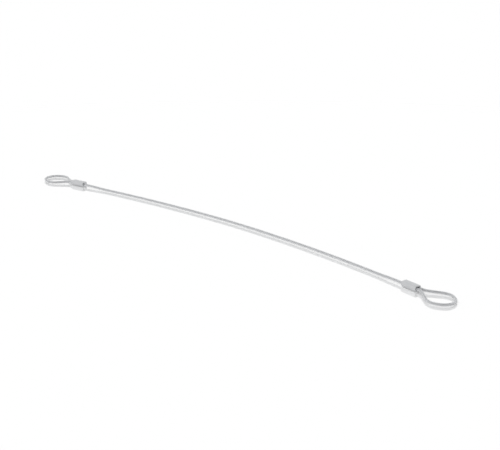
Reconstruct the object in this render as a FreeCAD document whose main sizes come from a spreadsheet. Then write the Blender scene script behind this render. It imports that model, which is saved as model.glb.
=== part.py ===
import FreeCAD, Part
import math
import os
import Sketcher

# A safety lanyard of steel wire rope. The rope is folded back on itself at each end into a soft eye,
# and a flat-oval aluminium sleeve, pressed over the two legs, closes each eye.
# Millimetres, +Z up. The lanyard lies in a shallow bow on the plane Z = 0, on its two sleeves, with
# X along its length, the bow towards +Y and the origin below the middle of its bounding box.

# Driving sizes. Every other size is worked out from these.
SIZES = [
    ("rope_diameter", 3.0),
    ("leg_gap", 0.2),         # between the two legs of rope in a sleeve
    ("sleeve_wall", 1.5),
    ("sleeve_length", 18.5),
    ("rim_chamfer", 0.5),     # round the sleeve's two outer rims
    ("mouth_depth", 1.5),     # the part of the hole, at each end, that the press leaves flat-oval
    ("mouth_flare", 0.3),     # chamfer round each mouth
    ("ridge_gap", 0.8),       # between the tips of the two ridges pressed in between the legs
    ("tail_recess", 0.3),     # from the sleeve's inner mouth in to the cut end of the rope
    ("seam_depth", 5.0),      # how far inside the sleeve an eye's solid meets the long solid
]

# The rope's route along the bow, from one sleeve's inner mouth to the other: x, y and sag of its
# corners. The sag is how far the rope lies below the level of the sleeves' holes, as a share of the
# sleeve's wall. At 1 it would touch the plane.
BOW = [
    (-239.6, -1.0, 0.0),
    (-225.8, 1.3, 0.0),
    (-208.0, 4.0, 0.65),
    (-184.0, 7.4, 0.65),
    (-150.0, 11.6, 0.65),
    (-104.0, 16.0, 0.65),
    (-52.0, 19.3, 0.65),
    (0.0, 20.7, 0.65),
    (52.0, 19.3, 0.65),
    (104.0, 16.0, 0.65),
    (150.0, 11.6, 0.65),
    (184.0, 7.4, 0.65),
    (208.0, 4.0, 0.65),
    (225.8, 1.3, 0.0),
    (239.6, -1.0, 0.0),
]

# Half of an eye's route: how far out from the sleeve's outer mouth, how far to the side of its axis, and
# the sag. The other half is its mirror image. The first corner is on the leg.
EYE_BEND = 3.0
EYE_SIDE = [
    (8.0, 2.8, 0.2),
    (14.2, 7.4, 0.45),
    (23.6, 13.9, 0.6),
    (32.5, 14.1, 0.65),
    (43.3, 6.1, 0.65),
]

# The side of each sleeve, in its own axes, where the live leg lies: both are the hollow of the bow.
LEFT_LIVE = 1
RIGHT_LIVE = -1

# Closer than this, two places count as one.
SAME_PLACE = 1e-6

# An arc starts and ends this share of the shorter run away from its corner.
ARC_SHARE = 0.45

# The sketcher's numbers: a curve's start, end and centre, and the sketch's own X axis and origin.
START, END, CENTRE = 1, 2, 3
X_AXIS = ORIGIN = -1

# What the sizes come to, as the spreadsheet works them out.
LEG_PITCH = "(Sizes.rope_diameter + Sizes.leg_gap)"
SLEEVE_THICKNESS = "(Sizes.rope_diameter + 2 * Sizes.sleeve_wall)"


def make_sheet(doc):
    sheet = doc.addObject("Spreadsheet::Sheet", "Sizes")
    for row, (alias, value) in enumerate(SIZES, start=1):
        sheet.set("A%d" % row, alias)
        sheet.set("B%d" % row, str(value))
        sheet.setAlias("B%d" % row, alias)
    doc.recompute()
    return sheet


# ---- sleeves ----


def sketch_across(body, name, distance=None):
    """A sketch square to the sleeve's axis, at its inner mouth or at a distance along it."""
    plane = [f for f in body.Origin.OriginFeatures if f.Role == "YZ_Plane"][0]
    sketch = body.newObject("Sketcher::SketchObject", name)
    sketch.AttachmentSupport = [(plane, "")]
    sketch.MapMode = "FlatFace"
    if distance:
        sketch.setExpression("AttachmentOffset.Base.z", distance)
    return sketch


def bind(sketch, constraint, name, expression):
    sketch.renameConstraint(sketch.addConstraint(constraint), name)
    sketch.setExpression("Constraints." + name, expression)


def draw_flat_oval(sketch, sheet, height_expression, height):
    """Two half circles a leg pitch apart, joined by two straight lines."""
    half_pitch = (sheet.rope_diameter + sheet.leg_gap) / 2
    radius = height / 2
    axis = FreeCAD.Vector(0, 0, 1)
    corners = [
        FreeCAD.Vector(x * half_pitch, y * radius, 0)
        for x, y in ((-1, 1), (1, 1), (-1, -1), (1, -1))
    ]
    right = Part.Circle(FreeCAD.Vector(half_pitch, 0, 0), axis, radius)
    left = Part.Circle(FreeCAD.Vector(-half_pitch, 0, 0), axis, radius)
    top, right, bottom, left = sketch.addGeometry(
        [
            Part.LineSegment(corners[0], corners[1]),
            Part.ArcOfCircle(right, -math.pi / 2, math.pi / 2),
            Part.LineSegment(corners[2], corners[3]),
            Part.ArcOfCircle(left, math.pi / 2, 3 * math.pi / 2),
        ],
        False,
    )
    sketch.addConstraint(Sketcher.Constraint("Tangent", top, END, right, END))
    sketch.addConstraint(Sketcher.Constraint("Tangent", bottom, END, right, START))
    sketch.addConstraint(Sketcher.Constraint("Tangent", top, START, left, START))
    sketch.addConstraint(Sketcher.Constraint("Tangent", bottom, START, left, END))
    sketch.addConstraint(Sketcher.Constraint("PointOnObject", right, CENTRE, X_AXIS))
    sketch.addConstraint(
        Sketcher.Constraint("Symmetric", left, CENTRE, right, CENTRE, ORIGIN, START)
    )
    pitch = Sketcher.Constraint("DistanceX", left, CENTRE, right, CENTRE, 2 * half_pitch)
    bind(sketch, pitch, "pitch", LEG_PITCH)
    rounding = Sketcher.Constraint("Radius", right, radius)
    bind(sketch, rounding, "rounding", height_expression + " / 2")


def draw_rope_seats(sketch, sheet):
    """The two round holes that the press closes onto the legs."""
    half_pitch = (sheet.rope_diameter + sheet.leg_gap) / 2
    axis = FreeCAD.Vector(0, 0, 1)
    left, right = sketch.addGeometry(
        [
            Part.Circle(FreeCAD.Vector(side * half_pitch, 0, 0), axis, sheet.rope_diameter / 2)
            for side in (-1, 1)
        ],
        False,
    )
    sketch.addConstraint(Sketcher.Constraint("Equal", left, right))
    sketch.addConstraint(Sketcher.Constraint("PointOnObject", right, CENTRE, X_AXIS))
    sketch.addConstraint(
        Sketcher.Constraint("Symmetric", left, CENTRE, right, CENTRE, ORIGIN, START)
    )
    pitch = Sketcher.Constraint("DistanceX", left, CENTRE, right, CENTRE, 2 * half_pitch)
    bind(sketch, pitch, "pitch", LEG_PITCH)
    diameter = Sketcher.Constraint("Diameter", right, sheet.rope_diameter)
    bind(sketch, diameter, "rope", "Sizes.rope_diameter")


def draw_ridge_slot(sketch, sheet):
    """The slot that joins the two seats between the ridges' tips."""
    half_width = (sheet.rope_diameter + sheet.leg_gap) / 2
    half_height = sheet.ridge_gap / 2
    corners = [
        FreeCAD.Vector(x * half_width, y * half_height, 0)
        for x, y in ((-1, -1), (1, -1), (1, 1), (-1, 1))
    ]
    sides = sketch.addGeometry(
        [Part.LineSegment(corners[i], corners[(i + 1) % 4]) for i in range(4)], False
    )
    for i in range(4):
        following = sides[(i + 1) % 4]
        sketch.addConstraint(Sketcher.Constraint("Coincident", sides[i], END, following, START))
    for i in (0, 2):
        sketch.addConstraint(Sketcher.Constraint("Horizontal", sides[i]))
        sketch.addConstraint(Sketcher.Constraint("Vertical", sides[i + 1]))
    sketch.addConstraint(
        Sketcher.Constraint("Symmetric", sides[0], START, sides[2], START, ORIGIN, START)
    )
    width = Sketcher.Constraint("DistanceX", sides[0], START, sides[0], END, 2 * half_width)
    bind(sketch, width, "pitch", LEG_PITCH)
    height = Sketcher.Constraint("DistanceY", sides[1], START, sides[1], END, 2 * half_height)
    bind(sketch, height, "gap", "Sizes.ridge_gap")


def cut(body, sketch, name, depth=None, inwards=True):
    """A pocket, right through or of a given depth, that has to take material away."""
    before = body.Shape.Volume
    pocket = body.newObject("PartDesign::Pocket", name)
    pocket.Profile = sketch
    pocket.Type = "Length" if depth else "ThroughAll"
    pocket.Reversed = inwards
    if depth:
        pocket.setExpression("Length", depth)
    sketch.Document.recompute()
    if body.Shape.Volume >= before:
        raise RuntimeError("%s of %s cuts nothing" % (name, body.Label))
    return pocket


def end_edges(shape, length, height):
    """The edges in the sleeve's two end faces that stay within a height above and below its axis."""
    names = []
    for index, edge in enumerate(shape.Edges, start=1):
        box = edge.BoundBox
        off_the_ends = min(abs(box.XMin), abs(box.XMin - length))
        flat = box.XLength < SAME_PLACE and off_the_ends < SAME_PLACE
        if flat and max(abs(box.ZMin), abs(box.ZMax)) < height:
            names.append("Edge%d" % index)
    return names


def make_sleeve(doc, sheet, label, place):
    body = doc.addObject("PartDesign::Body", label)
    body.Label = label
    bore_height = sheet.rope_diameter
    thickness = bore_height + 2 * sheet.sleeve_wall

    outline = sketch_across(body, "outline")
    draw_flat_oval(outline, sheet, SLEEVE_THICKNESS, thickness)
    pad = body.newObject("PartDesign::Pad", "tube")
    pad.Profile = outline
    pad.setExpression("Length", "Sizes.sleeve_length")
    doc.recompute()

    rims = body.newObject("PartDesign::Chamfer", "rims")
    rims.Base = (pad, end_edges(pad.Shape, sheet.sleeve_length, thickness))
    rims.setExpression("Size", "Sizes.rim_chamfer")
    doc.recompute()

    seats = sketch_across(body, "seats")
    draw_rope_seats(seats, sheet)
    cut(body, seats, "rope_seats")
    slot = sketch_across(body, "slot")
    draw_ridge_slot(slot, sheet)
    cut(body, slot, "ridge_slot")

    inner = sketch_across(body, "inner")
    draw_flat_oval(inner, sheet, "Sizes.rope_diameter", bore_height)
    cut(body, inner, "inner_mouth", "Sizes.mouth_depth")
    outer = sketch_across(body, "outer", "Sizes.sleeve_length")
    draw_flat_oval(outer, sheet, "Sizes.rope_diameter", bore_height)
    mouth = cut(body, outer, "outer_mouth", "Sizes.mouth_depth", inwards=False)

    flare = body.newObject("PartDesign::Chamfer", "flares")
    half_bore = bore_height / 2 + SAME_PLACE
    flare.Base = (mouth, end_edges(mouth.Shape, sheet.sleeve_length, half_bore))
    flare.setExpression("Size", "Sizes.mouth_flare")
    doc.recompute()
    body.Tip = flare
    body.Placement = place
    return body


# ---- rope ----


def rounded(label, points):
    """Straight runs between the points, joined by tangent arcs that are as large as fit."""
    edges = []
    radii = []
    last = points[0]
    for before, corner, after in zip(points, points[1:], points[2:]):
        run_in = corner - before
        run_out = after - corner
        turn = run_in.getAngle(run_out)
        reach = ARC_SHARE * min(run_in.Length, run_out.Length)
        radius = reach / math.tan(turn / 2)
        radii.append(radius)
        to_corner = run_in.normalize()
        from_corner = run_out.normalize()
        start = corner - to_corner * reach
        end = corner + from_corner * reach
        bisector = (from_corner - to_corner).normalize()
        middle = corner + bisector * radius * (1 / math.cos(turn / 2) - 1)
        edges.append(Part.LineSegment(last, start).toShape())
        edges.append(Part.Arc(start, middle, end).toShape())
        last = end
    edges.append(Part.LineSegment(last, points[-1]).toShape())
    print(label, "arc radii", ", ".join("%.1f" % radius for radius in radii))
    return Part.Wire(edges)


def make_tube(doc, sheet, label, points):
    """A plain round tube of the rope's diameter along a route of hand-set points."""
    route = doc.addObject("Part::Feature", label + "_route")
    route.Shape = rounded(label, points)
    first_run = points[1] - points[0]
    section = doc.addObject("Part::Circle", label + "_section")
    section.setExpression("Radius", "Sizes.rope_diameter / 2")
    section.Placement = FreeCAD.Placement(
        points[0], FreeCAD.Rotation(FreeCAD.Vector(0, 0, 1), first_run)
    )
    tube = doc.addObject("Part::Sweep", label)
    tube.Label = label
    tube.Sections = [section]
    tube.Spine = (route, ["Edge%d" % (i + 1) for i in range(len(route.Shape.Edges))])
    tube.Solid = True
    doc.recompute()
    area = math.pi * sheet.rope_diameter**2 / 4
    length = route.Shape.Length
    print(label, "length %.1f, volume %.1f of %.1f" % (length, tube.Shape.Volume, area * length))
    if abs(tube.Shape.Volume / (area * length) - 1) > 0.001:
        raise RuntimeError(label + " does not have the volume of its section along its route")
    return tube


def eye_points(sheet, place, live):
    """An eye's route from its seam with the long solid, round the eye, to the cut end of the rope."""
    length = sheet.sleeve_length
    leg = (sheet.rope_diameter + sheet.leg_gap) / 2
    side = [(EYE_BEND, leg, 0.0)] + EYE_SIDE
    leaving = [(out, live * away, sag) for out, away, sag in side]
    returning = [(out, -live * away, sag) for out, away, sag in reversed(side)]
    seam = (-sheet.seam_depth, live * leg, 0.0)
    tail = (sheet.tail_recess - length, -live * leg, 0.0)
    return [
        place.multVec(FreeCAD.Vector(length + out, away, -sag * sheet.sleeve_wall))
        for out, away, sag in [seam] + leaving + returning + [tail]
    ]


def hole_level(sheet):
    """The height of the rope's axis in the sleeves."""
    return sheet.rope_diameter / 2 + sheet.sleeve_wall


def sleeve_place(sheet, mouth, corner, live):
    """A sleeve's own axes: X out from its inner mouth along the rope that comes from the corner.

    That rope is the live leg. It lies on the sleeve's +Y side if live is 1, and on its -Y side if -1.
    """
    leg = (sheet.rope_diameter + sheet.leg_gap) / 2
    along = FreeCAD.Vector(mouth[0] - corner[0], mouth[1] - corner[1], 0)
    turned = FreeCAD.Rotation(FreeCAD.Vector(1, 0, 0), along)
    at = FreeCAD.Vector(mouth[0], mouth[1], hole_level(sheet))
    return FreeCAD.Placement(at - turned.multVec(FreeCAD.Vector(0, live * leg, 0)), turned)


def bow_points(sheet, left, right):
    """The long solid's route, from its seam in one sleeve to its seam in the other."""
    leg = (sheet.rope_diameter + sheet.leg_gap) / 2
    inside = sheet.sleeve_length - sheet.seam_depth
    left_seam = left.multVec(FreeCAD.Vector(inside, LEFT_LIVE * leg, 0))
    right_seam = right.multVec(FreeCAD.Vector(inside, RIGHT_LIVE * leg, 0))
    corners = [
        FreeCAD.Vector(x, y, hole_level(sheet) - sag * sheet.sleeve_wall) for x, y, sag in BOW[1:-1]
    ]
    return [left_seam] + corners + [right_seam]


# ---- the lanyard ----


def check(doc, parts):
    for item in doc.Objects:
        if "Invalid" in item.State or "Error" in item.State:
            raise RuntimeError("%s is %s" % (item.Label, item.State))
    for part in parts:
        if part.Shape.isNull() or not part.Shape.isValid() or len(part.Shape.Solids) != 1:
            raise RuntimeError(part.Label + " is not one valid solid")


def main():
    doc = FreeCAD.newDocument("wire_rope_lanyard")
    sheet = make_sheet(doc)
    left = sleeve_place(sheet, BOW[0], BOW[1], LEFT_LIVE)
    right = sleeve_place(sheet, BOW[-1], BOW[-2], RIGHT_LIVE)
    parts = [
        make_sleeve(doc, sheet, "left_ferrule", left),
        make_sleeve(doc, sheet, "right_ferrule", right),
        make_tube(doc, sheet, "rope_span", bow_points(sheet, left, right)),
        make_tube(doc, sheet, "left_eye", eye_points(sheet, left, LEFT_LIVE)),
        make_tube(doc, sheet, "right_eye", eye_points(sheet, right, RIGHT_LIVE)),
    ]
    doc.recompute()
    check(doc, parts)
    os.makedirs("parts", exist_ok=True)
    for part in parts:
        part.Shape.exportStep("parts/%s.step" % part.Label)


main()
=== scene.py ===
"""The looks of a wire rope lanyard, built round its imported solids. Metres, +Z up.

The rope is laid here strand by strand, along one smooth line that follows the route's points. It stands
for the plain tubes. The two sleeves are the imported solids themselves, with a pressed aluminium finish.
"""

import math

import bpy
import numpy as np
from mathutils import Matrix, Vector


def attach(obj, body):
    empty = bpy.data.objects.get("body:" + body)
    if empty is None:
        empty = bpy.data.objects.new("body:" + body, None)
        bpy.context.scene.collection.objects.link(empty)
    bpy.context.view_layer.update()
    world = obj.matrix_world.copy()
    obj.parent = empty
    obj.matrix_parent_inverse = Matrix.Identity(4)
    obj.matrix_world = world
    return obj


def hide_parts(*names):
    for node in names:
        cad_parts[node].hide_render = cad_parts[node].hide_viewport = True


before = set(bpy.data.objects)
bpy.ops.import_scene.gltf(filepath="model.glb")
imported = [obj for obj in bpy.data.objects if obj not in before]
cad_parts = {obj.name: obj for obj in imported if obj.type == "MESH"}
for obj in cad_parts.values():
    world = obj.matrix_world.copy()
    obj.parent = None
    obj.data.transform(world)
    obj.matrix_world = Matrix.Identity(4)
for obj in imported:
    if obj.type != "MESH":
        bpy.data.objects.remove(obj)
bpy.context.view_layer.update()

MM = 0.001

# ---- sizes, as the solids have them ----

ROPE_DIAMETER = 3.0 * MM
LEG = 1.6 * MM                # from a sleeve's axis to the axis of either leg
SLEEVE_LENGTH = 18.5 * MM
SLEEVE_WALL = 1.5 * MM
TAIL_RECESS = 0.3 * MM        # how far inside its sleeve a cut end stops
HOLE_LEVEL = SLEEVE_WALL + ROPE_DIAMETER / 2

# The route of the solids along the bow, from one sleeve's inner mouth to the other: x, y and sag. The
# sag is how far the rope lies below the level of the sleeves' holes, as a share of the sleeve's wall.
# Here it is less than the 0.65 of the solids, so the rope springs up a little between its sleeves.
BOW = [
    (-0.2396, -0.0010, 0.0),
    (-0.2258, 0.0013, 0.0),
    (-0.208, 0.0040, 0.6),
    (-0.184, 0.0074, 0.55),
    (-0.15, 0.0116, 0.55),
    (-0.104, 0.0160, 0.55),
    (-0.052, 0.0193, 0.5),
    (0.0, 0.0207, 0.5),
    (0.052, 0.0193, 0.5),
    (0.104, 0.0160, 0.45),
    (0.15, 0.0116, 0.45),
    (0.184, 0.0074, 0.45),
    (0.208, 0.0040, 0.5),
    (0.2258, 0.0013, 0.0),
    (0.2396, -0.0010, 0.0),
]
# How far out from its sleeve's outer mouth each leg of an eye stays straight.
EYE_BEND = 0.003
# The rest of half an eye: how far out from that mouth, how far to the side of the sleeve's axis, and
# the sag.
EYE_SIDE = [
    (0.008, 0.0028, 0.2),
    (0.0142, 0.0074, 0.45),
    (0.0236, 0.0139, 0.6),
    (0.0325, 0.0141, 0.65),
    (0.0433, 0.0061, 0.65),
]
# A point on each leg inside the sleeve, which keeps the smooth line straight there.
IN_SLEEVE = -0.005
# The side of each sleeve where the leg that carries the load lies, and how much of its sag its eye has.
LEFT_LIVE = 1
RIGHT_LIVE = -1
LEFT_DROOP = 1.0
RIGHT_DROOP = 0.88
# The smooth line's places for each of the route's points.
LINE_STEPS = 64

# ---- the rope's make: six strands laid round a seventh, each of six wires round one ----

STRANDS = 6
WIRES = 6
STRAND_RADIUS = ROPE_DIAMETER / 6
STRAND_LAY = 20.0 * MM        # one turn of a strand round the rope
WIRE_LAY = -7.5 * MM          # one turn of a wire in its strand, the other way round
GROOVE = 0.78                 # how far out the grooves between wires reach, as a share of the crests
STATION = 0.64 * MM           # between two rings of a strand
CORE_SIDES = 6

# ---- finishes ----

WHITE = (1.0, 1.0, 1.0, 1.0)

# A list of pairs is a ramp: a place from 0 to 1, and the grey or the colour there. A scale is that of a
# noise, in cells a metre.
# Painted shade: the wire's grey, darkest down in the grooves between wires and lightest out on the
# crests.
WIRE_GROOVE_SHADE = [(0.0, 0.66), (0.55, 0.80), (1.0, 0.88)]         # from the grooves out to the crests
WIRE_ZINC = [(0.3, (0.86, 0.87, 0.89)), (0.7, (0.98, 0.99, 1.0))]
WIRE_ZINC_SCALE = 420.0
WIRE_ROUGHNESS = [(0.3, 0.40), (0.7, 0.54)]
WIRE_ROUGHNESS_SCALE = 900.0
WIRE_GRAIN_SCALE = 5200.0
WIRE_GRAIN_HEIGHT = 0.02 * MM
WIRE_GRAIN_STRENGTH = 0.25

SLEEVE_CLOUD = [(0.3, (0.60, 0.61, 0.625)), (0.7, (0.67, 0.675, 0.685))]
SLEEVE_CLOUD_SCALE = 260.0
SLEEVE_ROUGHNESS = [(0.25, 0.34), (0.75, 0.50)]               # follows the same cloud
SLEEVE_LINES = [(0.3, 0.90), (0.7, 1.0)]
SLEEVE_LINE_SCALE = 2600.0
SLEEVE_LINE_STRETCH = 12.0                                    # how much longer than wide a line is
SLEEVE_LINE_HEIGHT = 0.03 * MM
SLEEVE_LINE_STRENGTH = 0.3

# ---- floor, light and camera ----

FLOOR_HALF = 9.0
FLOOR_DROP = 0.02 * MM        # how far the floor lies below the sleeves
FLOOR_PLAIN = 0.35            # the share of the sheet's own white that takes no shadow
FLOOR_GLOSS = 0.36            # makes it mirror nothing from above, and half at the camera's slant
FLOOR_ROUGHNESS = 0.0

SKY_FILL = 0.62               # what the white surroundings give to matt surfaces
SUN_FILL = 0.38               # what the soft sun adds on a level surface
SUN_TILT = (math.radians(18.0), math.radians(-12.0), 0.0)
SUN_WIDTH = math.radians(50.0)

# The room's ceiling is dimmer than its walls in what the metal and the floor mirror. It starts, and is
# at its dimmest, at these cosines of the angle from the direction given.
CEILING_TOWARDS = Vector((0.3, -0.05, 0.95))
CEILING_STARTS = 0.78
CEILING_FULL = 0.92
CEILING_GREY = 0.3

# The camera looks at this place on the floor from this far, this far round from the front and this high.
# The lens and the sensor's width are in millimetres.
AIM = Vector((0.0116, 0.0317, 0.0))
DISTANCE = 1.1754
AZIMUTH = math.radians(41.88)
ELEVATION = math.radians(19.56)
LENS = 74.96
SENSOR = 36.0
CLIP_START = 0.01
CLIP_END = 50.0


# ---- helpers ----


def add_object(name, data):
    made = bpy.data.objects.new(name, data)
    bpy.context.scene.collection.objects.link(made)
    return made


def new_material(name):
    material = bpy.data.materials.new(name)
    material.use_nodes = True
    nodes = material.node_tree.nodes
    nodes.clear()
    return material, nodes, material.node_tree.links


def set_inputs(node, **values):
    for name, value in values.items():
        node.inputs[name.replace("_", " ")].default_value = value


def ramp(nodes, links, stops, value):
    """The colour that a ramp gives for a value. A stop's place comes with a grey or a colour."""
    node = nodes.new("ShaderNodeValToRGB")
    elements = node.color_ramp.elements
    while len(elements) < len(stops):
        elements.new(0.5)
    for element, (place, colour) in zip(elements, stops):
        element.position = place
        element.color = (*colour, 1.0) if isinstance(colour, tuple) else (colour, colour, colour, 1.0)
    links.new(value, node.inputs["Fac"])
    return node.outputs["Color"]


def noise(nodes, links, coordinates, scale, detail=3.0, roughness=0.5):
    node = nodes.new("ShaderNodeTexNoise")
    set_inputs(node, Scale=scale, Detail=detail, Roughness=roughness)
    links.new(coordinates, node.inputs["Vector"])
    return node.outputs["Fac"]


def multiply(nodes, links, first, second):
    node = nodes.new("ShaderNodeMix")
    node.data_type = "RGBA"
    node.blend_type = "MULTIPLY"
    set_inputs(node, Factor=1.0)
    links.new(first, node.inputs["A"])
    links.new(second, node.inputs["B"])
    return node.outputs["Result"]


def mix_shaders(nodes, links, first, second):
    """Both shaders in one: the node's own input Fac says how much of it is the second."""
    mix = nodes.new("ShaderNodeMixShader")
    links.new(first, mix.inputs[1])
    links.new(second, mix.inputs[2])
    return mix


# ---- materials ----


def finish_metal(nodes, links, colour, rough, relief, height, strength):
    """The metal's surface, with a fine relief that only bends the light."""
    bump = nodes.new("ShaderNodeBump")
    set_inputs(bump, Strength=strength, Distance=height)
    links.new(relief, bump.inputs["Height"])
    shader = nodes.new("ShaderNodeBsdfPrincipled")
    set_inputs(shader, Metallic=1.0)
    links.new(colour, shader.inputs["Base Color"])
    links.new(rough, shader.inputs["Roughness"])
    links.new(bump.outputs["Normal"], shader.inputs["Normal"])
    output = nodes.new("ShaderNodeOutputMaterial")
    links.new(shader.outputs["BSDF"], output.inputs["Surface"])


def wire_material():
    """Bright galvanised wire: satin zinc, with painted shade that darkens its grey down in the grooves
    between wires.
    """
    material, nodes, links = new_material("galvanised_wire")
    place = nodes.new("ShaderNodeTexCoord").outputs["Object"]
    depth = nodes.new("ShaderNodeAttribute")
    depth.attribute_name = "crest"
    # Painted shade: the grey darkens from the wires' crests down into the grooves.
    crest = ramp(nodes, links, WIRE_GROOVE_SHADE, depth.outputs["Fac"])
    zinc = ramp(nodes, links, WIRE_ZINC, noise(nodes, links, place, WIRE_ZINC_SCALE, detail=4.0))
    rough = ramp(nodes, links, WIRE_ROUGHNESS, noise(nodes, links, place, WIRE_ROUGHNESS_SCALE))
    grain = noise(nodes, links, place, WIRE_GRAIN_SCALE, detail=2.0)
    colour = multiply(nodes, links, crest, zinc)
    finish_metal(nodes, links, colour, rough, grain, WIRE_GRAIN_HEIGHT, WIRE_GRAIN_STRENGTH)
    return material


def sleeve_material(name, along):
    """Pressed aluminium: satin, with faint die lines along the sleeve and a cloudy sheen."""
    material, nodes, links = new_material(name)
    place = nodes.new("ShaderNodeTexCoord").outputs["Object"]
    mapping = nodes.new("ShaderNodeMapping")
    mapping.vector_type = "TEXTURE"
    set_inputs(
        mapping,
        Rotation=(0.0, 0.0, math.atan2(along.y, along.x)),
        Scale=(SLEEVE_LINE_STRETCH, 1.0, 1.0),
    )
    links.new(place, mapping.inputs["Vector"])
    lines = noise(nodes, links, mapping.outputs["Vector"], SLEEVE_LINE_SCALE)
    cloud = noise(nodes, links, place, SLEEVE_CLOUD_SCALE, detail=4.0, roughness=0.6)
    cloud_tint = ramp(nodes, links, SLEEVE_CLOUD, cloud)
    line_tint = ramp(nodes, links, SLEEVE_LINES, lines)
    rough = ramp(nodes, links, SLEEVE_ROUGHNESS, cloud)
    colour = multiply(nodes, links, cloud_tint, line_tint)
    finish_metal(nodes, links, colour, rough, lines, SLEEVE_LINE_HEIGHT, SLEEVE_LINE_STRENGTH)
    return material


def backdrop_seen(nodes, links):
    """1 for what the camera sees directly, mirrored or through glass, and 0 for other light."""
    path = nodes.new("ShaderNodeLightPath")
    seen = path.outputs["Is Camera Ray"]
    for ray in ("Is Glossy Ray", "Is Transmission Ray"):
        either = nodes.new("ShaderNodeMath")
        either.operation = "MAXIMUM"
        links.new(seen, either.inputs[0])
        links.new(path.outputs[ray], either.inputs[1])
        seen = either.outputs["Value"]
    return seen


def floor_material():
    """A polished white sheet. Its shadows are faint, and it mirrors more the lower it is seen."""
    material, nodes, links = new_material("polished_white_sheet")
    matt = nodes.new("ShaderNodeBsdfDiffuse")
    set_inputs(matt, Color=WHITE)
    plain = nodes.new("ShaderNodeEmission")
    set_inputs(plain, Color=WHITE)
    links.new(backdrop_seen(nodes, links), plain.inputs["Strength"])
    gloss = nodes.new("ShaderNodeBsdfGlossy")
    set_inputs(gloss, Color=WHITE, Roughness=FLOOR_ROUGHNESS)
    sheet = mix_shaders(nodes, links, matt.outputs["BSDF"], plain.outputs["Emission"])
    set_inputs(sheet, Fac=FLOOR_PLAIN)
    surface = mix_shaders(nodes, links, sheet.outputs["Shader"], gloss.outputs["BSDF"])
    slant = nodes.new("ShaderNodeLayerWeight")
    set_inputs(slant, Blend=FLOOR_GLOSS)
    links.new(slant.outputs["Facing"], surface.inputs["Fac"])
    output = nodes.new("ShaderNodeOutputMaterial")
    links.new(surface.outputs["Shader"], output.inputs["Surface"])
    return material


# ---- the rope's line ----


def rope_level(sag):
    return HOLE_LEVEL - sag * SLEEVE_WALL


class Sleeve:
    """A sleeve's own axes: out along it from its inner mouth, and to the side of its axis.

    mouth is where the leg that carries the load leaves it for the bow, and corner the bow's next point.
    """

    def __init__(self, mouth, corner, live, droop):
        mouth, corner = Vector(mouth[:2]), Vector(corner[:2])
        self.along = (mouth - corner).normalized()
        self.side = Vector((-self.along.y, self.along.x))
        self.origin = mouth - self.side * live * LEG
        self.live = live
        self.droop = droop

    def point(self, out, away, sag=0.0):
        """The place this far out from the outer mouth, and this far to the live leg's side."""
        flat = self.origin + self.along * (SLEEVE_LENGTH + out) + self.side * self.live * away
        return Vector((flat.x, flat.y, rope_level(self.droop * sag)))

    def eye(self):
        """The route's points from the cut end, round the eye, to the leg that carries the load."""
        side = [(IN_SLEEVE, LEG, 0.0), (EYE_BEND, LEG, 0.0)] + EYE_SIDE
        tail = [self.point(TAIL_RECESS - SLEEVE_LENGTH, -LEG)]
        leaving = [self.point(out, -away, sag) for out, away, sag in side]
        returning = [self.point(out, away, sag) for out, away, sag in reversed(side)]
        return tail + leaving + returning


def smooth_line(points):
    """Places along the one smooth spline that has the route's points as its control points."""
    curve = bpy.data.curves.new("route", "CURVE")
    curve.dimensions = "3D"
    curve.resolution_u = LINE_STEPS
    spline = curve.splines.new("NURBS")
    spline.points.add(len(points) - 1)
    for control, point in zip(spline.points, points):
        control.co = (*point, 1.0)
    spline.order_u = 3
    spline.use_endpoint_u = True
    holder = add_object("route", curve)
    bpy.context.view_layer.update()
    mesh = bpy.data.meshes.new_from_object(holder)
    line = np.array([vertex.co for vertex in mesh.vertices])
    bpy.data.meshes.remove(mesh)
    bpy.data.objects.remove(holder)
    bpy.data.curves.remove(curve)
    return line


def stations(line, spacing):
    """The line again at even distances, with its forward, sideways and upward directions there."""
    lengths = np.linalg.norm(np.diff(line, axis=0), axis=1)
    travelled = np.concatenate([[0.0], np.cumsum(lengths)])
    count = int(round(travelled[-1] / spacing)) + 1
    at = np.linspace(0.0, travelled[-1], count)
    places = np.column_stack([np.interp(at, travelled, line[:, axis]) for axis in range(3)])
    forward = np.gradient(places, at, axis=0)
    forward /= np.linalg.norm(forward, axis=1, keepdims=True)
    sideways = np.column_stack([-forward[:, 1], forward[:, 0], np.zeros(count)])
    sideways /= np.linalg.norm(sideways, axis=1, keepdims=True)
    return at, places, forward, sideways, np.cross(forward, sideways)


# ---- the rope's strands ----


def strand_rings(line, offset, start, ring):
    """Rings of points along one strand.

    line is what stations gives. offset is the strand's distance from the rope's axis, and start its angle
    at the first ring. ring is the ring's shape: the angle of each point and its distance from the
    strand's axis.
    """
    at, places, forward, sideways, up = line
    turn = start + 2 * math.pi * at / STRAND_LAY
    outward = np.cos(turn)[:, None] * sideways + np.sin(turn)[:, None] * up
    around = -np.sin(turn)[:, None] * sideways + np.cos(turn)[:, None] * up
    lean = math.atan(2 * math.pi * offset / STRAND_LAY)
    across = math.cos(lean) * around - math.sin(lean) * forward
    centres = places + offset * outward
    twist = 2 * math.pi * at / WIRE_LAY
    rings = []
    for angle, radius in ring:
        away = np.cos(twist + angle)[:, None] * outward + np.sin(twist + angle)[:, None] * across
        rings.append(centres + radius * away)
    return np.stack(rings, axis=1)


def tube_faces(rings, sides, first):
    """Quads between rings and a fan over each cut end, whose centres follow the rings' points."""
    faces = []
    for ring in range(rings - 1):
        low = first + ring * sides
        for i in range(sides):
            j = (i + 1) % sides
            faces.append((low + i, low + j, low + sides + j, low + sides + i))
    near = first + rings * sides
    last = first + (rings - 1) * sides
    for i in range(sides):
        j = (i + 1) % sides
        faces.append((near, first + j, first + i))
        faces.append((near + 1, last + i, last + j))
    return faces


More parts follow.
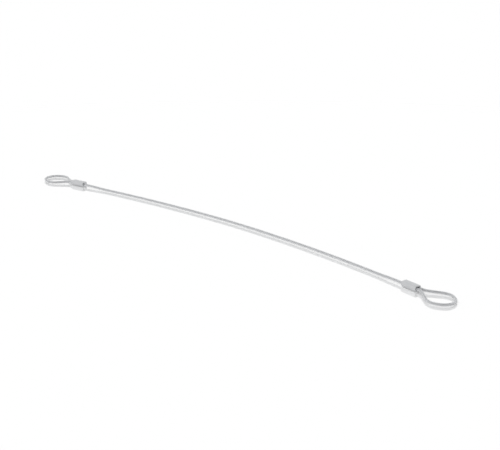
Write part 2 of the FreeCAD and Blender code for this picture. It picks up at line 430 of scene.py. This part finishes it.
def lay_rope(line):
    """Six strands laid round a straight one, in a single mesh.

    Each point says how near it is to a wire's crest, from 0 in a groove to 1 on a crest; the wire's
    colour turns this into painted shade in the grooves.
    """
    count = len(line[0])
    low = GROOVE * STRAND_RADIUS
    crests = []
    for wire in range(WIRES):
        angle = 2 * math.pi * wire / WIRES
        crests += [(angle, STRAND_RADIUS), (angle + math.pi / WIRES, low)]
    plain = [(2 * math.pi * i / CORE_SIDES, STRAND_RADIUS) for i in range(CORE_SIDES)]
    strands = [(0.0, 0.0, plain)]
    strands += [(2 * STRAND_RADIUS, 2 * math.pi * i / STRANDS, crests) for i in range(STRANDS)]

    points, faces, crest = [], [], []
    for offset, start, ring in strands:
        rings = strand_rings(line, offset, start, ring)
        faces += tube_faces(count, len(ring), sum(len(p) for p in points))
        middles = np.stack([rings[0].mean(axis=0), rings[-1].mean(axis=0)])
        points.append(np.concatenate([rings.reshape(-1, 3), middles]))
        # The hidden core strand gets the grooves' painted shade all over, and the centres of the cut ends
        # get none.
        shares = [(radius - low) / (STRAND_RADIUS - low) if offset else 0.0 for _, radius in ring]
        crest.append(np.concatenate([np.tile(shares, count), [1.0, 1.0]]))

    mesh = bpy.data.meshes.new("wire_rope")
    mesh.from_pydata(np.concatenate(points).tolist(), [], faces)
    attribute = mesh.attributes.new("crest", "FLOAT", "POINT")
    attribute.data.foreach_set("value", np.concatenate(crest))
    smooth = [len(face) == 4 for face in faces]
    mesh.polygons.foreach_set("use_smooth", smooth)
    mesh.update()
    return mesh


def make_rope(left, right):
    bow = [Vector((x, y, rope_level(sag))) for x, y, sag in BOW[1:-1]]
    points = left.eye() + bow + right.eye()[::-1]
    line = smooth_line(points)
    rope = add_object("wire_rope", lay_rope(stations(line, STATION)))
    rope.data.materials.append(wire_material())
    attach(rope, "root")
    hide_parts("rope_span", "left_eye", "right_eye")


# ---- the sleeves ----


def finish_sleeve(name, sleeve):
    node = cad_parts[name]
    node.data.materials.clear()
    node.data.materials.append(sleeve_material(name + "_aluminium", sleeve.along))


# ---- the stage ----


def make_floor():
    around = ((-1, -1), (1, -1), (1, 1), (-1, 1))
    corners = [(x * FLOOR_HALF, y * FLOOR_HALF, -FLOOR_DROP) for x, y in around]
    mesh = bpy.data.meshes.new("floor")
    mesh.from_pydata(corners, [], [(0, 1, 2, 3)])
    mesh.materials.append(floor_material())
    add_object("floor", mesh)


def make_world():
    """White to the eye, and when mirrored but for a dim ceiling. It lights matt surfaces more softly."""
    world = bpy.data.worlds.new("white_room")
    bpy.context.scene.world = world
    world.use_nodes = True
    nodes, links = world.node_tree.nodes, world.node_tree.links
    nodes.clear()
    toward = nodes.new("ShaderNodeVectorMath")
    toward.operation = "DOT_PRODUCT"
    links.new(nodes.new("ShaderNodeTexCoord").outputs["Generated"], toward.inputs[0])
    toward.inputs[1].default_value = CEILING_TOWARDS.normalized()
    ceiling = nodes.new("ShaderNodeMapRange")
    ceiling.interpolation_type = "SMOOTHSTEP"
    set_inputs(
        ceiling, From_Min=CEILING_STARTS, From_Max=CEILING_FULL, To_Min=1.0, To_Max=CEILING_GREY
    )
    links.new(toward.outputs["Value"], ceiling.inputs["Value"])

    strength = nodes.new("ShaderNodeMapRange")
    set_inputs(strength, To_Min=SKY_FILL, To_Max=1.0)
    links.new(backdrop_seen(nodes, links), strength.inputs["Value"])
    mirrored = nodes.new("ShaderNodeMix")
    mirrored.data_type = "FLOAT"
    links.new(nodes.new("ShaderNodeLightPath").outputs["Is Glossy Ray"], mirrored.inputs["Factor"])
    links.new(strength.outputs["Result"], mirrored.inputs["A"])
    links.new(ceiling.outputs["Result"], mirrored.inputs["B"])
    background = nodes.new("ShaderNodeBackground")
    set_inputs(background, Color=WHITE)
    links.new(mirrored.outputs["Result"], background.inputs["Strength"])
    output = nodes.new("ShaderNodeOutputWorld")
    links.new(background.outputs["Background"], output.inputs["Surface"])


def make_sun():
    light = bpy.data.lights.new("soft_sun", "SUN")
    light.angle = SUN_WIDTH
    sun = add_object("soft_sun", light)
    sun.rotation_euler = SUN_TILT
    sun.visible_glossy = False
    bpy.context.view_layer.update()
    steepness = (sun.matrix_world.to_3x3() @ Vector((0, 0, 1))).z
    light.energy = math.pi * SUN_FILL / steepness


def make_camera():
    data = bpy.data.cameras.new("camera")
    data.lens = LENS
    data.sensor_fit = "HORIZONTAL"
    data.sensor_width = SENSOR
    data.clip_start = CLIP_START
    data.clip_end = CLIP_END
    level = math.cos(ELEVATION)
    back = Vector((math.sin(AZIMUTH) * level, -math.cos(AZIMUTH) * level, math.sin(ELEVATION)))
    camera = add_object("camera", data)
    camera.location = AIM + back * DISTANCE
    camera.rotation_euler = (-back).to_track_quat("-Z", "Y").to_euler()
    bpy.context.scene.camera = camera


# ---- the scene ----

bpy.context.scene.view_settings.view_transform = "Standard"
left_sleeve = Sleeve(BOW[0], BOW[1], LEFT_LIVE, LEFT_DROOP)
right_sleeve = Sleeve(BOW[-1], BOW[-2], RIGHT_LIVE, RIGHT_DROOP)
make_rope(left_sleeve, right_sleeve)
finish_sleeve("left_ferrule", left_sleeve)
finish_sleeve("right_ferrule", right_sleeve)
make_floor()
make_world()
make_sun()
make_camera()
